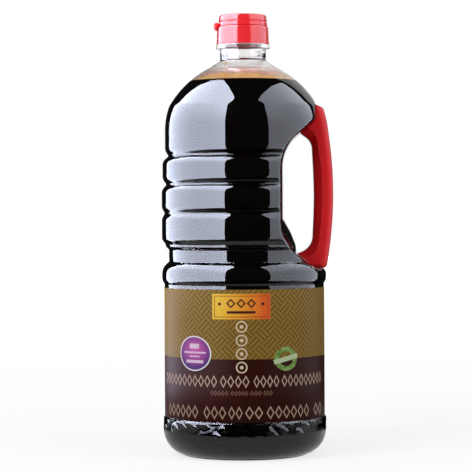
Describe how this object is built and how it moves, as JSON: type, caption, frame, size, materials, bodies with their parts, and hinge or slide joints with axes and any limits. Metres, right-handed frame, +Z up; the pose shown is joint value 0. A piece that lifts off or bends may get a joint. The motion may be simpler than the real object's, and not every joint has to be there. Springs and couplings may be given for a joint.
{
  "type": "soy sauce bottle",
  "caption": "Clear ribbed bottle of dark sauce with a side grip handle, a flip-top cap and a wrap-round label.",
  "frame": {"origin": "on the bottle's axis, on the plane that the bottle stands on", "axes": "+Z up the bottle's axis to the cap; +X to the handle; the cap's thumb tab is on the -X side"},
  "size_m": [0.1101, 0.1054, 0.2816],
  "materials": {
    "clear_plastic": "clear, polished",
    "sauce": "liquid, near black",
    "handle_plastic": "satin moulded",
    "cap_plastic": "glossy moulded",
    "label_film": "printed film"
  },
  "bodies": {
    "root": {"bottle": "clear_plastic", "soy_sauce": "sauce", "handle": "handle_plastic", "cap_base": "cap_plastic", "cap_lid": "cap_plastic", "label": "label_film"}
  },
  "joints": []
}
